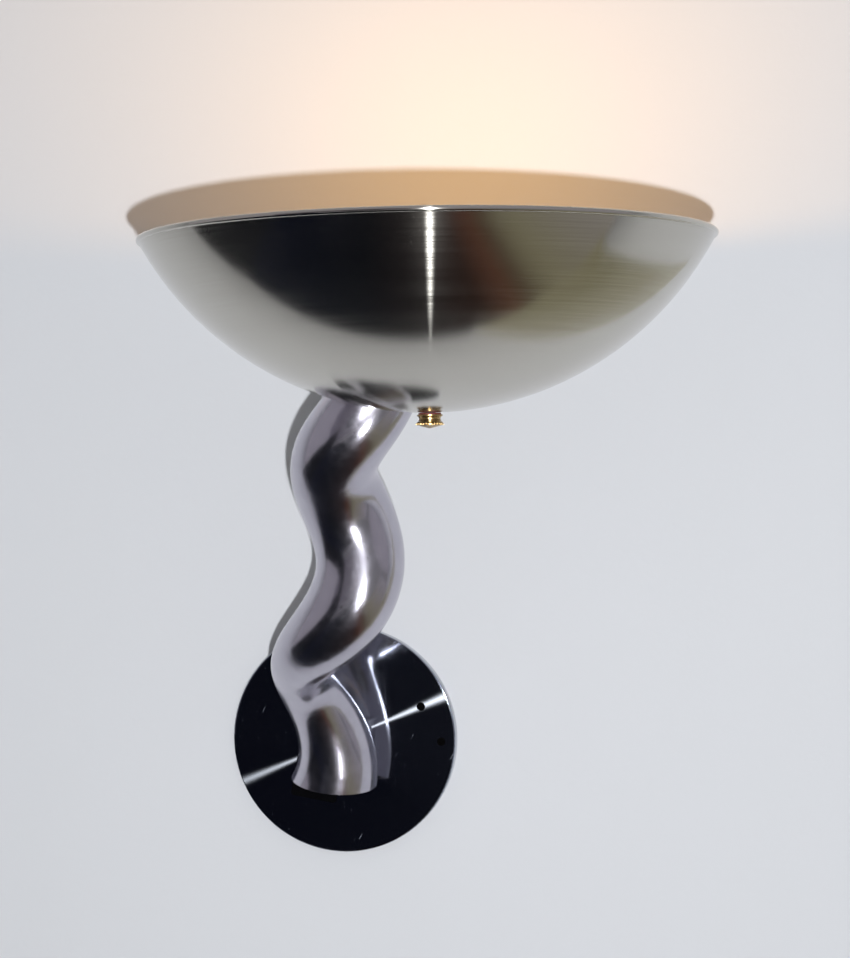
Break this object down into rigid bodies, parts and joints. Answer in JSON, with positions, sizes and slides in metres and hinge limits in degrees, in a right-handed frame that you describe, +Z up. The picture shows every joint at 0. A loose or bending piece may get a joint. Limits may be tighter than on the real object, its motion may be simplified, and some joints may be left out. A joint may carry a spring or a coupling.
{
  "type": "wall uplighter",
  "caption": "Wall uplighter: a round brushed metal bowl on a twisted corkscrew arm with a round wall disc, a double-ended lamp inside and a knurled nut below.",
  "frame": {"origin": "centre of the round wall disc, on the wall plane, midway between the bracket's two slots", "axes": "+Z up, +Y into the wall, so the lamp stands out along -Y; +X to the right seen from the room"},
  "size_m": [0.3057, 0.3599, 0.3493],
  "materials": {
    "brushed_bowl": "spun, circular-brushed",
    "polished_steel": "polished, fine circular brushing",
    "cast_aluminium": "polished casting with small pits",
    "brass": "turned, lightly tarnished",
    "red_fibre": "fibre washer",
    "zinc_steel": "zinc plated",
    "black_steel": "black oxide",
    "black_plastic": "moulded",
    "black_rubber": "thin pad",
    "white_nylon": "moulded",
    "ceramic": null,
    "contact_metal": "nickel-plated",
    "spring_steel": "spring wire",
    "quartz": "clear tube",
    "tungsten": "coiled wire",
    "bright_aluminium": "bright rolled",
    "lead_brown": "silicone sleeve",
    "lead_blue": "silicone sleeve",
    "lead_green": "silicone sleeve, green with yellow"
  },
  "bodies": {
    "lamp_body": {"wall_bracket": "zinc_steel", "wall_disc": "polished_steel", "disc_lock_screws": "black_steel", "cable_bush": "black_plastic", "arm": "cast_aluminium", "arm_end_plug": "black_plastic", "foot_screws": "zinc_steel", "foot_washers": "zinc_steel", "terminal_block": "white_nylon", "terminal_screws": "brass", "bowl_gasket": "black_rubber", "arm_top_nipple": "zinc_steel", "seat_washer": "zinc_steel", "nipple_nut": "zinc_steel", "bowl": "brushed_bowl", "centre_stud": "zinc_steel", "carrier_spacer": "zinc_steel", "reflector_spacer": "zinc_steel", "stud_nuts": "zinc_steel", "lamp_carrier": "zinc_steel", "holder_left": "ceramic", "holder_right": "ceramic", "holder_screws": "zinc_steel", "contact_spring_left": "spring_steel", "contact_spring_right": "spring_steel", "lamp_tube": "quartz", "lamp_caps": "ceramic", "lamp_filament": "tungsten", "reflector": "bright_aluminium", "earth_ring": "zinc_steel", "earth_screw": "brass", "lead_live": "lead_brown", "lead_neutral": "lead_blue", "lead_earth": "lead_green"},
    "finial_ride": {"finial_collar": "brass", "finial_washer": "red_fibre"},
    "finial": {"finial_nut": "brass"},
    "left_contact": {"contact_left": "contact_metal"},
    "right_contact": {"contact_right": "contact_metal"}
  },
  "joints": [
    {"name": "finial_drop", "type": "slide", "parent": "lamp_body", "child": "finial_ride", "axis": [0, 0, -1], "range_m": [0, 0.003]},
    {"name": "finial_turn", "type": "hinge", "parent": "finial_ride", "child": "finial", "pos_m": [0.0877, -0.2099, 0.1851], "axis": [0, 0, -1], "range_deg": [0, 1080]},
    {"name": "left_contact_press", "type": "slide", "parent": "lamp_body", "child": "left_contact", "axis": [-1, 0, 0], "range_m": [0, 0.003], "stiffness_N_per_m": 2000, "springref_m": -0.001, "deforming": ["contact_spring_left"]},
    {"name": "right_contact_press", "type": "slide", "parent": "lamp_body", "child": "right_contact", "axis": [1, 0, 0], "range_m": [0, 0.003], "stiffness_N_per_m": 2000, "springref_m": -0.001, "deforming": ["contact_spring_right"]}
  ],
  "couplings": [
    {"joint": "finial_turn", "follows": "finial_drop", "rad_per_m": 6283.2}
  ]
}
